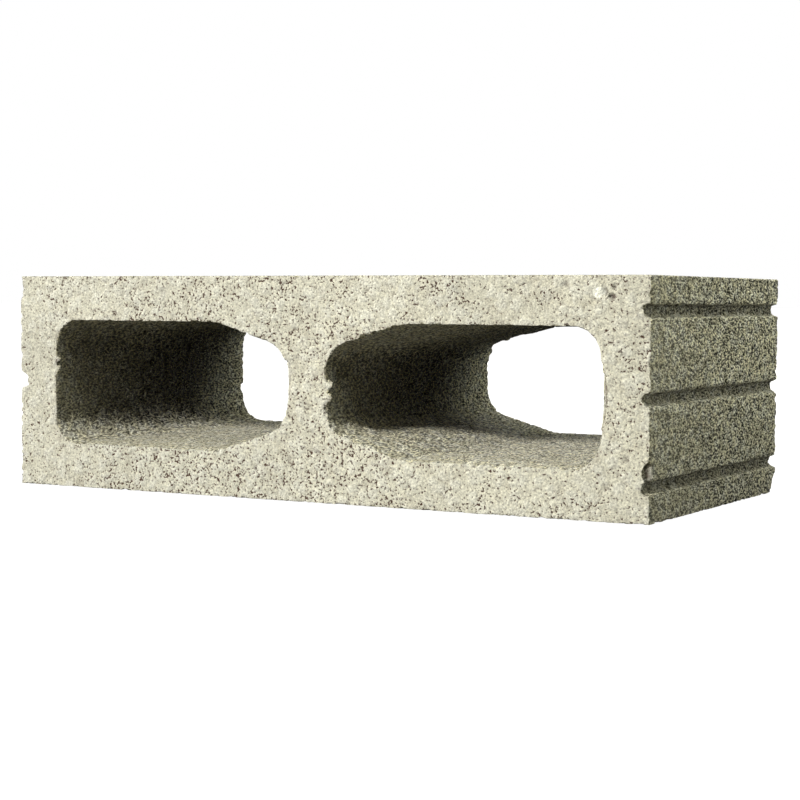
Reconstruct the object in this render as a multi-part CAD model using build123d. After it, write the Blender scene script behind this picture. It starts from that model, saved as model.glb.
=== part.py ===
from build123d import *
from math import sqrt
import os

# Hollow concrete block with two cores, cast as one piece and lying on one of its face shells.
# X runs along the block's length, Y along the cores (its height once laid in a wall)
# and Z through the thickness of the wall. The origin is on the floor, under the block's middle.
# All sizes are in millimetres.

# Overall size, one mortar joint short of the 400 x 200 grid that such blocks are laid on
LENGTH = 390.0
COURSE_HEIGHT = 190.0
THICKNESS = 120.0

# Walls at the wide mouths of the cores, on the face at -Y, where they are thinnest
FACE_SHELL = 25.0
END_WALL = 26.0
WEB = 25.0

# Core outline: an oblong that narrows towards the web along two sloped flanks
FLANK_REACH = 46.0
FLANK_RISE = 14.0
END_CORNER_RADIUS = 16.0
WEB_CORNER_RADIUS = 16.0
KNEE_RADIUS = 40.0

# Draft of the cores: what each wall gains from the wide mouth to the narrow one at +Y.
# The flanks gain theirs where they meet the web.
SHELL_DRAFT = 1.5
FLANK_DRAFT = 1.8
WEB_DRAFT = 0.2
END_DRAFT = 0.2

# Lip at the narrow mouth, where the face shells curve in to give mortar a wider bed
LIP_DEPTH = 30.0
SHELL_LIP = 1.8
LIP_SECTIONS = 5

# Three scored grooves down the +X end, the outer two opposite the face shells
SCORE_MOUTH = 6.5
SCORE_FLOOR = 4.5
SCORE_DEPTH = 4.0
SCORE_INSET = 17.5

# One wider groove down the middle of the -X end
KEY_MOUTH = 8.5
KEY_FLOOR = 5.5
KEY_DEPTH = 5.0

# How far cutting shapes run past the faces that they cut through
OVERCUT = 2.0

WIDE_MOUTH = -COURSE_HEIGHT / 2
NARROW_MOUTH = COURSE_HEIGHT / 2
LIP_START = NARROW_MOUTH - LIP_DEPTH
MID_HEIGHT = THICKNESS / 2


def draft_gain(y, draft):
    """Thickness that a core wall has gained at y from its draft."""
    return draft * (y - WIDE_MOUTH) / COURSE_HEIGHT


def lip_gain(y):
    """Thickness that the lip adds at y: an arc that leaves the face shell smoothly at LIP_START."""
    into_lip = max(0.0, y - LIP_START)
    radius = (LIP_DEPTH**2 + SHELL_LIP**2) / (2 * SHELL_LIP)
    return radius - sqrt(radius**2 - into_lip**2)


def core_section(y):
    """Section of the +X core at y, with its flanked end at the web."""
    end_x = LENGTH / 2 - END_WALL - draft_gain(y, END_DRAFT)
    web_x = WEB / 2 + draft_gain(y, WEB_DRAFT)
    knee_x = web_x + FLANK_REACH
    rise = MID_HEIGHT - FACE_SHELL - draft_gain(y, SHELL_DRAFT) - lip_gain(y)
    web_rise = MID_HEIGHT - FACE_SHELL - FLANK_RISE - draft_gain(y, FLANK_DRAFT)
    upper = [(end_x, rise), (knee_x, rise), (web_x, web_rise)]
    lower = [(x, -z) for x, z in reversed(upper)]
    radii = [min(END_CORNER_RADIUS, rise), KNEE_RADIUS, min(WEB_CORNER_RADIUS, web_rise)]
    outline = FilletPolyline(*upper, *lower, radius=radii + radii[::-1], close=True)
    section_plane = Plane((0, y, MID_HEIGHT), x_dir=(1, 0, 0), z_dir=(0, -1, 0))
    return section_plane * make_face(outline)


def core():
    """The +X core as a solid to cut away: a drafted run, then the curved lip."""
    run = loft([core_section(WIDE_MOUTH - OVERCUT), core_section(LIP_START)], ruled=True)
    step = (LIP_DEPTH + OVERCUT) / (LIP_SECTIONS - 1)
    lip = loft([core_section(LIP_START + step * i) for i in range(LIP_SECTIONS)])
    return run + lip


def end_groove(side, z, mouth, floor, depth):
    """Tapered groove at height z down one end, along the cores; side is 1 for +X and -1 for -X."""
    face_x = side * LENGTH / 2
    floor_x = face_x - side * depth
    corners = [
        (face_x, z - mouth / 2),
        (face_x, z + mouth / 2),
        (floor_x, z + floor / 2),
        (floor_x, z - floor / 2),
    ]
    outline = Plane.XZ * Polygon(*corners, align=None)
    return extrude(outline, COURSE_HEIGHT / 2 + OVERCUT, both=True)


def concrete_block():
    """The whole block: its outer box, less both cores and the grooves of its two ends."""
    block = Box(LENGTH, COURSE_HEIGHT, THICKNESS, align=(Align.CENTER, Align.CENTER, Align.MIN))
    right_core = core()
    block -= right_core
    block -= mirror(right_core, Plane.YZ)
    for z in (SCORE_INSET, MID_HEIGHT, THICKNESS - SCORE_INSET):
        block -= end_groove(1, z, SCORE_MOUTH, SCORE_FLOOR, SCORE_DEPTH)
    block -= end_groove(-1, MID_HEIGHT, KEY_MOUTH, KEY_FLOOR, KEY_DEPTH)
    block.label = "concrete_block"
    return block


os.makedirs("parts", exist_ok=True)
export_step(concrete_block(), "parts/concrete_block.step")
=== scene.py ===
from math import cos, pi, radians, sin

import bpy
import numpy as np
from bpy.props import FloatProperty, FloatVectorProperty, IntProperty, PointerProperty
from mathutils import Euler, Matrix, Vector


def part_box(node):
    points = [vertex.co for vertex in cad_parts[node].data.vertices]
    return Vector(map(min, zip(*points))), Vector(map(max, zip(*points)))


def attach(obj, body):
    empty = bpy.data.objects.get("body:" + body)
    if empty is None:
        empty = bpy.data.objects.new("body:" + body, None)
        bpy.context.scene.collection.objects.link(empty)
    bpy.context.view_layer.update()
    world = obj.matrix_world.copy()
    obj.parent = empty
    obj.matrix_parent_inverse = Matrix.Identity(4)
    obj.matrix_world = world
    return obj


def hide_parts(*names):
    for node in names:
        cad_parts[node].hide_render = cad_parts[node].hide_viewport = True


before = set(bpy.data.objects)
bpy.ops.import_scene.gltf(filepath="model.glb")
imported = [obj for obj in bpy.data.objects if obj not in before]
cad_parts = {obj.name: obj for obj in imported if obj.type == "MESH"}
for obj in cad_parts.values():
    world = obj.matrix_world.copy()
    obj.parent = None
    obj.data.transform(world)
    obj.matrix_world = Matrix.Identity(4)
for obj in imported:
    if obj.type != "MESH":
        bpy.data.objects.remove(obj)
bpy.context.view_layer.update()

bl_info = {
    "name": "Concrete block",
    "version": (1, 0, 0),
    "blender": (4, 5, 0),
    "location": "3D View > Sidebar > Concrete block",
    "description": "Gives a hollow concrete block its worn edges, cast texture and studio",
    "category": "Add Mesh",
}

MM = 0.001
NODE = "concrete_block"
LOW, HIGH = (Vector(corner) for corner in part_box(NODE))
AIM = (LOW + HIGH) / 2

# Where the look of the concrete changes
OPEN_X = -45 * MM            # the struck faces are most open round here
WEB_CLOSED = 12 * MM         # paste closes the face of the web this far from its middle,
WEB_OPEN = 30 * MM           # and no more from here
SHELL_SKIN = 8 * MM          # faces this near the top or bottom are a face shell's outside
END_SKIN = 8 * MM            # drawn faces this near either end belong to the end
GROOVE_DEPTH = 4.4 * MM      # the grooves are dark round this depth,
GROOVE_SPREAD = 3 * MM       # and this far to both sides of it
FOOT_TOP = 95 * MM           # the ends darken from this height down
PEBBLE_RIM = 3.4 * MM        # the pebble's paleness starts this far from its middle,
PEBBLE_FULL = 2.6 * MM       # and is full from here in

# Damage that shows one by one, in millimetres: the middle of each lump and its three half sizes.
# Chips and pits are cut away; burrs and the loose pebble are added.
CHIPS = {
    "top_left_corner": ((-196, -96, 113), (3.0, 3.0, 8.0)),
    "over_low_groove": ((194.4, -96, 24.5), (3.4, 6.0, 5.4)),
    "top_right_arris": ((196, -96, 109), (2.8, 2.6, 4.5)),
    "far_low_corner": ((197, 98, -2), (7.0, 11.0, 15.0)),
    "right_core_end_edge": ((168.8, -96, 61), (3.6, 5.0, 18.0)),
    "left_core_web_edge": ((-11.6, -96, 63), (2.2, 3.6, 15.0)),
    "left_core_far_edge": ((-170, 96, 49), (2.6, 4.0, 3.0)),
    "right_core_far_corner": ((22, 97, 79.5), (8.0, 9.0, 4.5)),
    "right_core_far_flank": ((36, 97, 85.0), (10.0, 9.0, 3.5)),
    "pit_over_left_core": ((-41.6, -95, 102.6), (1.5, 2.2, 1.2)),
    "pit_under_left_core": ((-56.7, -95, 25.3), (2.0, 2.4, 1.3)),
    "pit_on_right_flank": ((50, -84, 27.6), (1.8, 1.8, 1.8)),
    "right_of_pebble": ((170.6, -95.6, 112.2), (1.9, 3.4, 3.0)),
    "pit_by_pebble": ((175.6, -95.6, 114.4), (1.8, 3.2, 2.0)),
    "pit_under_pebble": ((174.6, -95.6, 109.4), (2.6, 3.2, 1.8)),
    "far_edge_low": ((196, 96, 33), (2.6, 2.2, 3.6)),
    "far_edge_middle": ((196, 96, 52), (2.2, 2.6, 2.6)),
    "far_edge_upper": ((196, 96, 75), (2.4, 2.0, 4.6)),
    "far_edge_high": ((196, 96, 96), (2.8, 2.4, 2.2)),
}
BURRS = {
    "right_core_web_low": ((13.2, -93.4, 56.0), (3.2, 2.2, 2.8)),
    "right_core_web_high": ((13.8, -93.4, 62.4), (2.8, 2.0, 2.2)),
    "left_core_end_low": ((-168.8, -93.4, 67.2), (2.6, 2.0, 2.4)),
    "left_core_end_high": ((-168.6, -93.4, 72.4), (2.1, 1.8, 1.8)),
    "pebble": ((167.2, -93.6, 111.6), (2.6, 1.6, 3.0)),
}

WHITE = (1.0, 1.0, 1.0)
WARM = (1.0, 0.965, 0.78)
CREAM = (1.0, 0.975, 0.88)
GREEN = (0.955, 1.0, 0.926)
# Soft lights: azimuth and elevation in degrees, distance and size in metres, level and tint
SOFTBOXES = {
    "key": (-8.5, 22, 1.31, 0.12, 0.95, WHITE),
    "bounce": (8, -25, 2.2, 0.8, 0.1, WARM),
    "back": (-168, 9, 2.2, 0.8, 0.82, CREAM),
    "right_low": (107, 14, 1.2, 0.4, 0.33, GREEN),
    "right_high": (103, 53, 0.6, 0.25, 0.3, GREEN),
    "right_front": (58, 48, 2.2, 0.7, 0.1, GREEN),
    "left": (-95, 35, 2.2, 0.9, 0.3, WHITE),
}


def srgb(hex_colour):
    """Linear red, green and blue of an sRGB hex colour."""
    channels = [int(hex_colour[i:i + 2], 16) / 255 for i in (1, 3, 5)]
    return tuple(c / 12.92 if c <= 0.04045 else ((c + 0.055) / 1.055) ** 2.4 for c in channels)


class BlockCasting(bpy.types.PropertyGroup):
    """Sizes of the block's cast relief and worn edges"""
    voxel: FloatProperty(
        name="Voxel", description="Spacing of the mesh that relief is worked into",
        default=1.0 * MM, unit="LENGTH")
    triangles: IntProperty(
        name="Triangles", description="Triangles that the finished block keeps", default=190000)
    arris_reach: FloatProperty(
        name="Arris reach", description="How far from an edge the concrete has worn",
        default=3.0 * MM, unit="LENGTH")
    arris_patch: FloatProperty(
        name="Arris patch", description="Length of the worn stretches of an edge",
        default=12.0 * MM, unit="LENGTH")
    arris_rounds: IntProperty(
        name="Arris rounds", description="How many times the worn edges are smoothed", default=5)
    crumb: FloatProperty(
        name="Crumb", description="Size of the crumbs lost from an edge", default=3.2 * MM, unit="LENGTH")
    crumb_depth: FloatProperty(
        name="Crumb depth", description="Depth of a lost crumb", default=0.9 * MM, unit="LENGTH")
    void: FloatProperty(
        name="Void", description="Size of the air voids left in dry concrete",
        default=4.0 * MM, unit="LENGTH")
    void_depth: FloatProperty(
        name="Void depth", description="Depth of the air voids", default=1.4 * MM, unit="LENGTH")
    lump: FloatProperty(
        name="Lump", description="Size of the unevenness of chips and burrs",
        default=2.5 * MM, unit="LENGTH")
    # Holes are darkened with depth as painted shade
    hole_rim: FloatProperty(
        name="Hole rim", description="Depth at which a hole starts to darken",
        default=1.0 * MM, unit="LENGTH")
    hole_floor: FloatProperty(
        name="Hole floor", description="Depth at which a hole is darkest",
        default=2.2 * MM, unit="LENGTH")


class BlockConcrete(bpy.types.PropertyGroup):
    """Colours and grain of the concrete"""
    paste: FloatVectorProperty(
        name="Paste", description="Cement paste and fine sand", subtype="COLOR", default=srgb("#E1DECC"))
    pale: FloatVectorProperty(
        name="Pale grain", description="Pale stones", subtype="COLOR", default=srgb("#EBEADD"))
    dull: FloatVectorProperty(
        name="Dull grain", description="Darker sand grains", subtype="COLOR", default=srgb("#BDB6A0"))
    drawn_paste: FloatVectorProperty(
        name="Drawn paste", description="Paste where the mould was drawn off", subtype="COLOR",
        default=srgb("#D3CDB0"))
    # The pit and gap colours are partly the concrete's own and partly painted shade inside the hollows
    pit: FloatVectorProperty(
        name="Pit", description="Inside of the pits of the struck faces", subtype="COLOR",
        default=srgb("#4C3024"))
    gap: FloatVectorProperty(
        name="Gap", description="Inside of the holes of the drawn faces", subtype="COLOR",
        default=srgb("#34301F"))
    sand: FloatProperty(
        name="Sand", description="Width of the finest speckle", default=0.9 * MM, unit="LENGTH")
    grain: FloatProperty(
        name="Grain", description="Width of a sand grain of the struck faces",
        default=1.4 * MM, unit="LENGTH")
    drawn_grain: FloatProperty(
        name="Drawn grain", description="Width of a sand grain where the mould was drawn off",
        default=1.05 * MM, unit="LENGTH")
    stone: FloatProperty(
        name="Stone", description="Width of a small stone", default=7.0 * MM, unit="LENGTH")
    patch: FloatProperty(
        name="Patch", description="Width of open and closed patches of texture",
        default=26.0 * MM, unit="LENGTH")
    mottle: FloatProperty(
        name="Mottle", description="Width of the slow changes of tone", default=90.0 * MM, unit="LENGTH")
    stone_relief: FloatProperty(
        name="Stone relief", description="How far small stones stand out of the struck faces",
        default=0.5 * MM, unit="LENGTH")
    struck_relief: FloatProperty(
        name="Struck relief", description="Height of the grains on the two struck faces",
        default=0.9 * MM, unit="LENGTH")
    drawn_relief: FloatProperty(
        name="Drawn relief", description="Height of the grains where the mould was drawn off",
        default=2.0 * MM, unit="LENGTH")
    roughness: FloatProperty(
        name="Roughness", description="Roughness of dry concrete", default=0.95, subtype="FACTOR")


class BlockStage(bpy.types.PropertyGroup):
    """Camera and light"""
    lens: FloatProperty(
        name="Lens", description="Focal length on a 36 mm sensor", default=84.14, unit="CAMERA")
    camera_place: FloatVectorProperty(
        name="Camera", description="Where the camera stands", subtype="TRANSLATION",
        default=(530.46 * MM, -929.29 * MM, 107.16 * MM))
    azimuth: FloatProperty(
        name="Azimuth", description="Turn of the camera round the block", subtype="ANGLE",
        default=radians(29.54))
    elevation: FloatProperty(
        name="Elevation", description="How far the camera looks down", subtype="ANGLE",
        default=radians(3.05))
    roll: FloatProperty(
        name="Roll", description="Tilt of the camera about its own axis", subtype="ANGLE",
        default=radians(0.28))
    fill: FloatProperty(
        name="Fill", description="Level of the light from all round", default=0.2, subtype="FACTOR")


def select_only(*pieces):
    """Makes these the only selected objects, with the first one active."""
    bpy.ops.object.select_all(action="DESELECT")
    for piece in pieces:
        piece.select_set(True)
    bpy.context.view_layer.objects.active = pieces[0]


def apply_modifier(piece, kind, **settings):
    """Adds a modifier with these settings to a piece and applies it."""
    select_only(piece)
    modifier = piece.modifiers.new(kind.title(), kind)
    for name, value in settings.items():
        setattr(modifier, name, value)
    bpy.ops.object.modifier_apply(modifier=modifier.name)


def merged_copy(name):
    """Copy of the CAD block with its loose triangles merged."""
    piece = bpy.data.objects.new(name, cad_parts[NODE].data.copy())
    bpy.context.scene.collection.objects.link(piece)
    select_only(piece)
    bpy.ops.object.mode_set(mode="EDIT")
    bpy.ops.mesh.select_all(action="SELECT")
    bpy.ops.mesh.remove_doubles(threshold=0.01 * MM)
    bpy.ops.object.mode_set(mode="OBJECT")
    return piece


def arris_guide():
    """Wire of the block's sharp edges, to measure wear from."""
    guide = merged_copy("arris_guide")
    bpy.ops.object.mode_set(mode="EDIT")
    bpy.ops.mesh.select_mode(type="EDGE")
    bpy.ops.mesh.select_all(action="DESELECT")
    bpy.ops.mesh.edges_select_sharp(sharpness=radians(30))
    bpy.ops.mesh.select_all(action="INVERT")
    bpy.ops.mesh.delete(type="EDGE_FACE")
    bpy.ops.object.mode_set(mode="OBJECT")
    return guide


def noise_texture(name, size, depth, black, white):
    """Cloud texture of that grain size, black below one level and white above the other."""
    texture = bpy.data.textures.new(name, "CLOUDS")
    texture.noise_scale = size
    texture.noise_depth = depth
    texture.use_color_ramp = True
    for element, place, level in zip(texture.color_ramp.elements, (black, white), (0, 1)):
        element.position = place
        element.color = (level, level, level, 1)
    return texture


def lumps(name, marks, texture):
    """Rough lumps of broken concrete, one for each mark, as one object."""
    made = []
    for place, half_sizes in marks.values():
        bpy.ops.object.select_all(action="DESELECT")
        bpy.ops.mesh.primitive_ico_sphere_add(subdivisions=4, radius=1.0, location=Vector(place) * MM)
        lump = bpy.context.object
        lump.scale = Vector(half_sizes) * MM
        bpy.ops.object.transform_apply(location=True, rotation=True, scale=True)
        apply_modifier(
            lump, "DISPLACE", texture=texture, texture_coords="LOCAL", direction="NORMAL",
            mid_level=0.5, strength=0.5 * min(half_sizes) * MM)
        made.append(lump)
    select_only(*made)
    bpy.ops.object.join()
    made[0].name = name
    return made[0]


def wear_arrises(block, guide, reach, texture, rounds):
    """Rounds the edges where the texture is white, by smoothing them that many times."""
    arris = block.vertex_groups.new(name="arris")
    arris.add(range(len(block.data.vertices)), 1.0, "REPLACE")
    apply_modifier(
        block, "VERTEX_WEIGHT_PROXIMITY", vertex_group="arris", target=guide,
        proximity_mode="GEOMETRY", proximity_geometry={"EDGE"}, min_dist=reach, max_dist=0.3 * reach,
        mask_texture=texture, mask_tex_mapping="LOCAL", mask_tex_use_channel="INT")
    apply_modifier(block, "SMOOTH", factor=0.5, iterations=rounds, vertex_group="arris")


def wear_down(block, texture, depth, group=""):
    """Sinks the surface by up to depth where the texture is dark."""
    apply_modifier(
        block, "DISPLACE", texture=texture, texture_coords="LOCAL", direction="NORMAL",
        mid_level=1.0, strength=depth, vertex_group=group)


def keep_in_mould(block):
    """Presses back the few points that stand proud of the mould."""
    places = np.empty(3 * len(block.data.vertices), dtype=np.float32)
    block.data.vertices.foreach_get("co", places)
    pressed = np.clip(places.reshape(-1, 3), LOW, HIGH)
    block.data.vertices.foreach_set("co", pressed.ravel().astype(np.float32))
    block.data.update()


def note_sunk_places(block, mould, rim, floor):
    """Keeps how deep each point lies under the moulded faces and burrs: 0 at rim, 1 at floor."""
    sunk = block.vertex_groups.new(name="sunk")
    sunk.add(range(len(block.data.vertices)), 1.0, "REPLACE")
    apply_modifier(
        block, "VERTEX_WEIGHT_PROXIMITY", vertex_group="sunk", target=mould,
        proximity_mode="GEOMETRY", proximity_geometry={"FACE"}, min_dist=rim, max_dist=floor)
    index = block.vertex_groups["sunk"].index
    depths = [sum(g.weight for g in vertex.groups if g.group == index) for vertex in block.data.vertices]
    block.vertex_groups.clear()
    block.data.attributes.new("sunk", "FLOAT", "POINT").data.foreach_set("value", depths)


class BLOCK_OT_cast(bpy.types.Operator):
    """Makes the block with its cast relief and worn edges"""
    bl_idname = "block.cast"
    bl_label = "Cast the block"

    def execute(self, context):
        casting = context.scene.block_casting
        rough = noise_texture("rough", casting.lump, 1, 0.1, 0.9)
        # Holes are measured from the mould and its burrs, so that burrs don't count as holes
        mould = merged_copy("mould")
        select_only(mould, lumps("mould_burrs", BURRS, rough))
        bpy.ops.object.join()
        guide = arris_guide()
        block = merged_copy("block")
        chips = lumps("chips", CHIPS, rough)
        apply_modifier(block, "BOOLEAN", operation="DIFFERENCE", object=chips, solver="EXACT")
        burrs = lumps("burrs", BURRS, rough)
        select_only(block, burrs)
        bpy.ops.object.join()
        apply_modifier(block, "REMESH", mode="VOXEL", voxel_size=casting.voxel)
        stretches = noise_texture("worn_stretches", casting.arris_patch, 2, 0.3, 0.7)
        wear_arrises(block, guide, casting.arris_reach, stretches, casting.arris_rounds)
        wear_down(block, noise_texture("crumbs", casting.crumb, 2, 0.28, 0.5), casting.crumb_depth, "arris")
        wear_down(block, noise_texture("voids", casting.void, 2, 0.2, 0.3), casting.void_depth)
        triangles = sum(len(face.vertices) - 2 for face in block.data.polygons)
        apply_modifier(block, "DECIMATE", ratio=casting.triangles / triangles)
        keep_in_mould(block)
        note_sunk_places(block, mould, casting.hole_rim, casting.hole_floor)
        for helper in (mould, guide, chips):
            bpy.data.objects.remove(helper)
        select_only(block)
        bpy.ops.object.shade_smooth()
        apply_modifier(block, "WEIGHTED_NORMAL", mode="FACE_AREA", weight=100)
        block.data.materials.clear()
        block.data.materials.append(cast_concrete())
        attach(block, "root")
        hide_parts(NODE)
        return {"FINISHED"}


def add_node(tree, kind, settings=None, inputs=None):
    """Adds a node, sets its properties, and gives each input a value or a link from a socket."""
    node = tree.nodes.new(kind)
    for name, value in (settings or {}).items():
        setattr(node, name, value)
    for key, value in (inputs or {}).items():
        if isinstance(value, bpy.types.NodeSocket):
            tree.links.new(value, node.inputs[key])
        else:
            node.inputs[key].default_value = value
    return node


def cast_concrete():
    """Dry-cast concrete: sand and small stone in cement paste, pressed and released at once.
    The struck faces are a pale sandy skin with small pits between the grains; where the mould
    was drawn off, the grains stand open and dark gaps show between them."""
    look = bpy.context.scene.block_concrete
    material = bpy.data.materials.new("cast_concrete")
    material.use_nodes = True
    tree = material.node_tree
    tree.nodes.clear()
    smooth = {"interpolation_type": "SMOOTHSTEP"}
    place = add_node(tree, "ShaderNodeTexCoord").outputs["Object"]

    # Struck faces look along the cores; every other face was drawn against the mould
    facing = add_node(tree, "ShaderNodeSeparateXYZ", None, {
        0: add_node(tree, "ShaderNodeNewGeometry").outputs["Normal"]})
    along_core = add_node(tree, "ShaderNodeMath", {"operation": "ABSOLUTE"}, {0: facing.outputs["Y"]})
    drawn = add_node(tree, "ShaderNodeMapRange", smooth, {
        "Value": along_core.outputs[0], "From Min": 0.85, "From Max": 0.55}).outputs[0]

    # Packed sand: its low places are the gaps between grains. On the drawn faces it is dragged out
    # along the cores, most of all on their floors and roofs. Paste is smeared on all level faces.
    packing = add_node(tree, "ShaderNodeTexNoise", None, {
        "Vector": place, "Scale": 1 / look.grain, "Detail": 2.0, "Roughness": 0.6}).outputs["Fac"]
    along = add_node(tree, "ShaderNodeSeparateXYZ", None, {0: place})
    level_face = add_node(tree, "ShaderNodeMath", {"operation": "ABSOLUTE"}, {0: facing.outputs["Z"]})
    smear = add_node(tree, "ShaderNodeMapRange", smooth, {
        "Value": level_face.outputs[0], "From Min": 0.5, "From Max": 0.9})
    off_shells = add_node(tree, "ShaderNodeMath", {"operation": "COMPARE"}, {
        0: along.outputs["Z"], 1: AIM.z, 2: AIM.z - SHELL_SKIN})
    dragged_far = add_node(tree, "ShaderNodeMath", {"operation": "MULTIPLY"}, {
        0: smear.outputs[0], 1: off_shells.outputs[0]})
    drawn_noises = []
    for stretch in (0.5, 0.35):
        dragged = add_node(tree, "ShaderNodeMapping", None, {"Vector": place, "Scale": (1.0, stretch, 1.0)})
        drawn_noises.append(add_node(tree, "ShaderNodeTexNoise", None, {
            "Vector": dragged.outputs[0], "Scale": 1 / look.drawn_grain, "Detail": 2.0,
            "Roughness": 0.6}).outputs["Fac"])
    drawn_packing = add_node(tree, "ShaderNodeMix", None, {
        0: dragged_far.outputs[0], 2: drawn_noises[0], 3: drawn_noises[1]}).outputs[0]
    sand = add_node(tree, "ShaderNodeTexNoise", None, {
        "Vector": place, "Scale": 1 / look.sand, "Detail": 1.0, "Roughness": 0.6}).outputs["Fac"]

    # Patches where the texture is open and where paste closes it: it is most open left of the
    # middle and low down, and closed on the web
    patch = add_node(tree, "ShaderNodeTexNoise", None, {
        "Vector": place, "Scale": 1 / look.patch, "Detail": 3.0, "Roughness": 0.65})
    from_open = add_node(tree, "ShaderNodeMath", {"operation": "SUBTRACT"}, {
        0: along.outputs["X"], 1: OPEN_X})
    spread = add_node(tree, "ShaderNodeMath", {"operation": "ABSOLUTE"}, {0: from_open.outputs[0]})
    bias = add_node(tree, "ShaderNodeMapRange", smooth, {
        "Value": spread.outputs[0], "From Min": 60 * MM, "From Max": 150 * MM,
        "To Min": 0.1, "To Max": -0.1})
    out = add_node(tree, "ShaderNodeMath", {"operation": "ABSOLUTE"}, {0: along.outputs["X"]})
    from_middle = add_node(tree, "ShaderNodeMath", {"operation": "SUBTRACT"}, {
        0: along.outputs["Z"], 1: AIM.z})
    up_or_down = add_node(tree, "ShaderNodeMath", {"operation": "ABSOLUTE"}, {0: from_middle.outputs[0]})
    along_web = add_node(tree, "ShaderNodeMath", {"operation": "MULTIPLY"}, {
        0: up_or_down.outputs[0], 1: 0.6})
    off_web = add_node(tree, "ShaderNodeMath", {"operation": "MAXIMUM"}, {
        0: out.outputs[0], 1: along_web.outputs[0]})
    web_bias = add_node(tree, "ShaderNodeMapRange", smooth, {
        "Value": off_web.outputs[0], "From Min": WEB_CLOSED, "From Max": WEB_OPEN,
        "To Min": -0.12, "To Max": 0.0})
    low_bias = add_node(tree, "ShaderNodeMapRange", None, {
        "Value": along.outputs["Z"], "From Min": 20 * MM, "From Max": 100 * MM,
        "To Min": 0.04, "To Max": -0.02})
    patchy = patch.outputs["Fac"]
    for part in (bias, web_bias, low_bias):
        patchy = add_node(tree, "ShaderNodeMath", {"operation": "ADD"}, {
            0: patchy, 1: part.outputs[0]}).outputs[0]
    openness = add_node(tree, "ShaderNodeMapRange", smooth, {
        "Value": patchy, "From Min": 0.36, "From Max": 0.62}).outputs[0]

    # Small stones close the skin where they lie, and are paler; the skin opens along their seams
    shift = add_node(tree, "ShaderNodeTexNoise", None, {
        "Vector": place, "Scale": 2 / look.stone, "Detail": 2.0})
    uneven = add_node(tree, "ShaderNodeVectorMath", {"operation": "MULTIPLY_ADD"}, {
        0: shift.outputs["Color"], 1: (look.stone,) * 3, 2: place}).outputs[0]
    stone = add_node(tree, "ShaderNodeTexVoronoi", None, {"Vector": uneven, "Scale": 1 / look.stone})
    filled = add_node(tree, "ShaderNodeMapRange", smooth, {
        "Value": stone.outputs["Distance"], "From Min": 0.6, "From Max": 0.25}).outputs[0]
    seam_distance = add_node(tree, "ShaderNodeTexVoronoi", {"feature": "DISTANCE_TO_EDGE"}, {
        "Vector": uneven, "Scale": 1 / look.stone})
    seam = add_node(tree, "ShaderNodeMapRange", smooth, {
        "Value": seam_distance.outputs["Distance"], "From Min": 0.12, "From Max": 0.0}).outputs[0]

    # Pits on the struck faces: crisp ones, more of them in open patches and along the seams
    # of stones, and faint ones all over
    open_rim = add_node(tree, "ShaderNodeMath", {"operation": "MULTIPLY_ADD"}, {
        0: openness, 1: 0.08, 2: 0.32})
    rim = add_node(tree, "ShaderNodeMath", {"operation": "MULTIPLY_ADD"}, {
        0: seam, 1: 0.1, 2: open_rim.outputs[0]}).outputs[0]
    floor = add_node(tree, "ShaderNodeMath", {"operation": "SUBTRACT"}, {0: rim, 1: 0.05})
    crisp = add_node(tree, "ShaderNodeMapRange", smooth, {
        "Value": packing, "From Min": rim, "From Max": floor.outputs[0], "To Max": 0.95})
    faint = add_node(tree, "ShaderNodeMapRange", smooth, {
        "Value": packing, "From Min": 0.52, "From Max": 0.36, "To Max": 0.25})
    pit = add_node(tree, "ShaderNodeMath", {"operation": "MAXIMUM"}, {
        0: crisp.outputs[0], 1: faint.outputs[0]}).outputs[0]

    # Drawn faces: pale grains stand out and the gaps between them are dark, partly in their own
    # tone and partly as painted highlight on the grain tips and painted shade in the gaps. Paste half
    # fills the gaps near the struck face at -Y and where it is smeared.
    side_gap = add_node(tree, "ShaderNodeMapRange", None, {
        "Value": along.outputs["Y"], "From Min": LOW.y, "From Max": 0.0, "To Min": 0.3, "To Max": 0.02})
    gap_level = add_node(tree, "ShaderNodeMapRange", None, {
        "Value": smear.outputs[0], "To Min": side_gap.outputs[0], "To Max": 0.25})
    drawn_level = add_node(tree, "ShaderNodeMapRange", None, {
        "Value": drawn_packing, "From Min": 0.41, "From Max": 0.62,
        "To Min": gap_level.outputs[0], "To Max": 1.4})
    grain_level = add_node(tree, "ShaderNodeMapRange", None, {
        "Value": drawn, "To Min": 1.0, "To Max": drawn_level.outputs[0]})

    # Hollows, dark partly in their own colour and partly as painted shade, darker the deeper they sink:
    # the pits of the struck faces, but none on the loose pebble, and the holes of all faces
    from_pebble = add_node(tree, "ShaderNodeVectorMath", {"operation": "DISTANCE"}, {
        0: place, 1: Vector(BURRS["pebble"][0]) * MM})
    pebble = add_node(tree, "ShaderNodeMapRange", smooth, {
        "Value": from_pebble.outputs["Value"], "From Min": PEBBLE_RIM, "From Max": PEBBLE_FULL})
    closed = add_node(tree, "ShaderNodeMath", {"operation": "MAXIMUM"}, {0: drawn, 1: pebble.outputs[0]})
    open_skin = add_node(tree, "ShaderNodeMapRange", None, {
        "Value": closed.outputs[0], "To Min": pit, "To Max": 0.0})
    sunk = add_node(tree, "ShaderNodeAttribute", {"attribute_name": "sunk"})
    hole = add_node(tree, "ShaderNodeMath", {"operation": "MULTIPLY"}, {0: sunk.outputs["Fac"], 1: 0.8})
    hollow = add_node(tree, "ShaderNodeMath", {"operation": "MAXIMUM"}, {
        0: open_skin.outputs[0], 1: hole.outputs[0]}).outputs[0]
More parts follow.
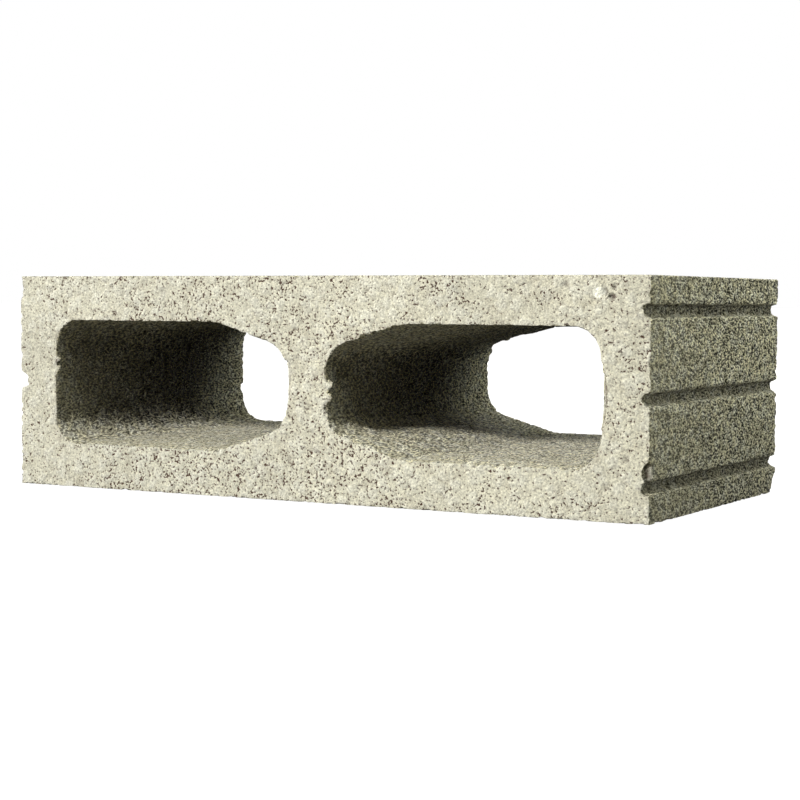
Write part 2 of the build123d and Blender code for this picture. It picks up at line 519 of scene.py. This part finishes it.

    # Painted shade keeps the grooves of both ends dark
    in_groove = add_node(tree, "ShaderNodeMath", {"operation": "COMPARE"}, {
        0: out.outputs[0], 1: HIGH.x - GROOVE_DEPTH, 2: GROOVE_SPREAD})
    groove_place = add_node(tree, "ShaderNodeMath", {"operation": "MULTIPLY"}, {
        0: in_groove.outputs[0], 1: off_shells.outputs[0]})
    groove = add_node(tree, "ShaderNodeMath", {"operation": "MULTIPLY"}, {
        0: groove_place.outputs[0], 1: drawn})
    painted_groove_shade = add_node(tree, "ShaderNodeMapRange", None, {
        "Value": groove.outputs[0], "To Min": 1.0, "To Max": 0.65})

    # Painted shade darkens the ends towards the foot
    at_end = add_node(tree, "ShaderNodeMath", {"operation": "COMPARE"}, {
        0: out.outputs[0], 1: HIGH.x, 2: END_SKIN})
    end_face = add_node(tree, "ShaderNodeMath", {"operation": "MULTIPLY"}, {0: at_end.outputs[0], 1: drawn})
    foot = add_node(tree, "ShaderNodeMapRange", None, {
        "Value": along.outputs["Z"], "From Max": FOOT_TOP, "To Min": 0.72, "To Max": 1.0})
    painted_foot_shade = add_node(tree, "ShaderNodeMapRange", None, {
        "Value": end_face.outputs[0], "To Min": 1.0, "To Max": foot.outputs[0]})

    # Colour: paste with pale stones and the loose pebble, dull stretches, sand, slow mottling, painted
    # light round the middle and towards +X, painted shade in the grooves and at the foot of the ends, and
    # dark hollows
    tone = add_node(tree, "ShaderNodeTexNoise", None, {
        "Vector": place, "Scale": 1 / look.stone, "Detail": 3.0, "Roughness": 0.7})
    mottle = add_node(tree, "ShaderNodeTexNoise", None, {
        "Vector": place, "Scale": 1 / look.mottle, "Detail": 3.0})
    pebble_level = add_node(tree, "ShaderNodeMapRange", None, {
        "Value": pebble.outputs[0], "To Min": 1.0, "To Max": 1.12})
    pale_share = add_node(tree, "ShaderNodeMath", {"operation": "MULTIPLY_ADD"}, {
        0: filled, 1: 0.5, 2: pebble.outputs[0]})
    paste = add_node(tree, "ShaderNodeMix", {"data_type": "RGBA"}, {
        0: drawn, 6: (*look.paste, 1), 7: (*look.drawn_paste, 1)})
    with_pale = add_node(tree, "ShaderNodeMix", {"data_type": "RGBA"}, {
        0: pale_share.outputs[0], 6: paste.outputs[2], 7: (*look.pale, 1)})
    dull_share = add_node(tree, "ShaderNodeMapRange", None, {
        "Value": tone.outputs["Fac"], "From Min": 0.5, "From Max": 0.3, "To Min": 0.0, "To Max": 0.4})
    with_dull = add_node(tree, "ShaderNodeMix", {"data_type": "RGBA"}, {
        0: dull_share.outputs[0], 6: with_pale.outputs[2], 7: (*look.dull, 1)})
    sand_level = add_node(tree, "ShaderNodeMapRange", None, {
        "Value": sand, "From Min": 0.3, "From Max": 0.7, "To Min": 0.76, "To Max": 1.18})
    mottle_level = add_node(tree, "ShaderNodeMapRange", None, {
        "Value": mottle.outputs["Fac"], "From Min": 0.35, "From Max": 0.65, "To Min": 0.95, "To Max": 1.04})
    # Painted light: a little lighter round the open patch left of the middle, and from the -X end towards
    # +X
    painted_middle_light = add_node(tree, "ShaderNodeMapRange", smooth, {
        "Value": spread.outputs[0], "From Min": 80 * MM, "From Max": 190 * MM,
        "To Min": 1.02, "To Max": 0.99})
    painted_side_light = add_node(tree, "ShaderNodeMapRange", None, {
        "Value": along.outputs["X"], "From Min": LOW.x, "From Max": HIGH.x, "To Min": 0.94, "To Max": 1.05})
    level = add_node(tree, "ShaderNodeMath", {"operation": "MULTIPLY"}, {
        0: sand_level.outputs[0], 1: mottle_level.outputs[0]})
    for part in (painted_middle_light, painted_side_light, grain_level, painted_groove_shade, painted_foot_shade, pebble_level):
        level = add_node(tree, "ShaderNodeMath", {"operation": "MULTIPLY"}, {
            0: level.outputs[0], 1: part.outputs[0]})
    toned = add_node(tree, "ShaderNodeVectorMath", {"operation": "SCALE"}, {
        0: with_dull.outputs[2], "Scale": level.outputs[0]})
    hollow_colour = add_node(tree, "ShaderNodeMix", {"data_type": "RGBA"}, {
        0: drawn, 6: (*look.pit, 1), 7: (*look.gap, 1)})
    colour = add_node(tree, "ShaderNodeMix", {"data_type": "RGBA"}, {
        0: hollow, 6: toned.outputs[0], 7: hollow_colour.outputs[2]})

    # Relief in metres: packed sand, highest on drawn faces, low stones on struck ones,
    # with finer sand on it
    stone_height = add_node(tree, "ShaderNodeMath", {"operation": "MULTIPLY"}, {
        0: filled, 1: look.stone_relief})
    struck_height = add_node(tree, "ShaderNodeMath", {"operation": "MULTIPLY_ADD"}, {
        0: packing, 1: look.struck_relief, 2: stone_height.outputs[0]})
    drawn_height = add_node(tree, "ShaderNodeMath", {"operation": "MULTIPLY"}, {
        0: drawn_packing, 1: look.drawn_relief})
    grains = add_node(tree, "ShaderNodeMix", None, {
        0: drawn, 2: struck_height.outputs[0], 3: drawn_height.outputs[0]})
    height = add_node(tree, "ShaderNodeMath", {"operation": "MULTIPLY_ADD"}, {
        0: sand, 1: 0.25 * MM, 2: grains.outputs[0]})
    bump = add_node(tree, "ShaderNodeBump", None, {
        "Strength": 1.0, "Distance": 1.0, "Height": height.outputs[0]})
    shader = add_node(tree, "ShaderNodeBsdfPrincipled", None, {
        "Base Color": colour.outputs[2], "Roughness": look.roughness, "Diffuse Roughness": 1.0, "IOR": 1.5,
        "Specular IOR Level": 0.2, "Normal": bump.outputs[0]})
    add_node(tree, "ShaderNodeOutputMaterial", None, {"Surface": shader.outputs[0]})
    return material


def seen_directly(tree):
    """Socket that is 1 where the camera, a mirror or glass looks at the stage, and 0 for its light."""
    path = add_node(tree, "ShaderNodeLightPath")
    mirrored = add_node(tree, "ShaderNodeMath", {"operation": "MAXIMUM"}, {
        0: path.outputs["Is Camera Ray"], 1: path.outputs["Is Glossy Ray"]})
    seen = add_node(tree, "ShaderNodeMath", {"operation": "MAXIMUM"}, {
        0: mirrored.outputs[0], 1: path.outputs["Is Transmission Ray"]})
    return seen.outputs[0]


def white_board():
    """Matt white board: bright to the camera, with the block's shadow kept on it."""
    material = bpy.data.materials.new("white_board")
    material.use_nodes = True
    tree = material.node_tree
    tree.nodes.clear()
    place = add_node(tree, "ShaderNodeTexCoord").outputs["Object"]
    # The lamps light the board near the block, so its own glow is weaker there
    away = add_node(tree, "ShaderNodeVectorMath", {"operation": "LENGTH"}, {0: place})
    whiteness = add_node(tree, "ShaderNodeMapRange", None, {
        "Value": away.outputs["Value"], "From Min": 0.25, "From Max": 0.8, "To Min": 0.88, "To Max": 1.0})
    board = add_node(tree, "ShaderNodeBsdfDiffuse", None, {"Color": (0.25, 0.25, 0.25, 1)})
    seen = add_node(tree, "ShaderNodeMath", {"operation": "MULTIPLY"}, {
        0: seen_directly(tree), 1: whiteness.outputs[0]})
    glow = add_node(tree, "ShaderNodeEmission", None, {
        "Color": (1, 1, 1, 1), "Strength": seen.outputs[0]})
    both = add_node(tree, "ShaderNodeAddShader", None, {0: board.outputs[0], 1: glow.outputs[0]})
    add_node(tree, "ShaderNodeOutputMaterial", None, {"Surface": both.outputs[0]})
    return material


def softbox(name, turn, rise, distance, size, level, tint):
    """Square soft light aimed at the block's middle. turn is its azimuth from the block's near face
    towards +X, rise its elevation. At level 1 a white card that faces it renders white."""
    direction = Vector((sin(turn) * cos(rise), -cos(turn) * cos(rise), sin(rise)))
    facing = direction.to_track_quat("Z", "Y").to_euler()
    bpy.ops.object.light_add(type="AREA", location=AIM + distance * direction, rotation=facing)
    lamp = bpy.context.object
    lamp.name = name
    lamp.data.shape = "SQUARE"
    lamp.data.size = size
    lamp.data.color = tint
    lamp.data.energy = level * (pi * distance) ** 2


class BLOCK_OT_stage(bpy.types.Operator):
    """Sets the camera, the white floor and the lights"""
    bl_idname = "block.stage"
    bl_label = "Set the stage"

    def execute(self, context):
        stage = context.scene.block_stage
        back = Vector((sin(stage.azimuth) * cos(stage.elevation),
                       -cos(stage.azimuth) * cos(stage.elevation), sin(stage.elevation)))
        turn = back.to_track_quat("Z", "Y") @ Euler((0, 0, stage.roll)).to_quaternion()
        bpy.ops.object.camera_add(location=stage.camera_place, rotation=turn.to_euler())
        camera = context.object
        camera.data.lens = stage.lens
        camera.data.sensor_width = 36.0
        context.scene.camera = camera

        bpy.ops.mesh.primitive_plane_add(size=60.0, location=(0, 0, 0))
        floor = context.object
        floor.name = "floor"
        floor.data.materials.append(white_board())
        floor.visible_shadow = False

        for name, (azimuth, elevation, distance, size, level, tint) in SOFTBOXES.items():
            softbox(name, radians(azimuth), radians(elevation), distance, size, level, tint)

        world = bpy.data.worlds.new("studio")
        context.scene.world = world
        world.use_nodes = True
        tree = world.node_tree
        tree.nodes.clear()
        seen = seen_directly(tree)
        strength = add_node(tree, "ShaderNodeMapRange", None, {
            "Value": seen, "To Min": stage.fill, "To Max": 1.0})
        colour = add_node(tree, "ShaderNodeMix", {"data_type": "RGBA"}, {
            0: seen, 6: (*WARM, 1), 7: (*WHITE, 1)})
        sky = add_node(tree, "ShaderNodeBackground", None, {
            "Color": colour.outputs[2], "Strength": strength.outputs[0]})
        add_node(tree, "ShaderNodeOutputWorld", None, {"Surface": sky.outputs[0]})
        context.scene.cycles.diffuse_bounces = 0
        context.scene.view_settings.view_transform = "Standard"
        return {"FINISHED"}


class VIEW3D_PT_concrete_block(bpy.types.Panel):
    """Sizes, colours and steps of the concrete block"""
    bl_label = "Concrete block"
    bl_space_type = "VIEW_3D"
    bl_region_type = "UI"
    bl_category = "Concrete block"

    def draw(self, context):
        for group in GROUPS:
            values = getattr(context.scene, group)
            for name in values.bl_rna.properties.keys():
                if name not in ("rna_type", "name"):
                    self.layout.prop(values, name)
        for operator in OPERATORS:
            self.layout.operator(operator.bl_idname)


GROUPS = {"block_casting": BlockCasting, "block_concrete": BlockConcrete, "block_stage": BlockStage}
OPERATORS = (BLOCK_OT_cast, BLOCK_OT_stage)
CLASSES = (*GROUPS.values(), *OPERATORS, VIEW3D_PT_concrete_block)


def register():
    for cls in CLASSES:
        bpy.utils.register_class(cls)
    for name, group in GROUPS.items():
        setattr(bpy.types.Scene, name, PointerProperty(type=group))


def unregister():
    for name in GROUPS:
        delattr(bpy.types.Scene, name)
    for cls in reversed(CLASSES):
        bpy.utils.unregister_class(cls)


def main():
    """Builds the block and its stage."""
    register()
    bpy.ops.block.cast()
    bpy.ops.block.stage()


if __name__ == "__main__":
    main()
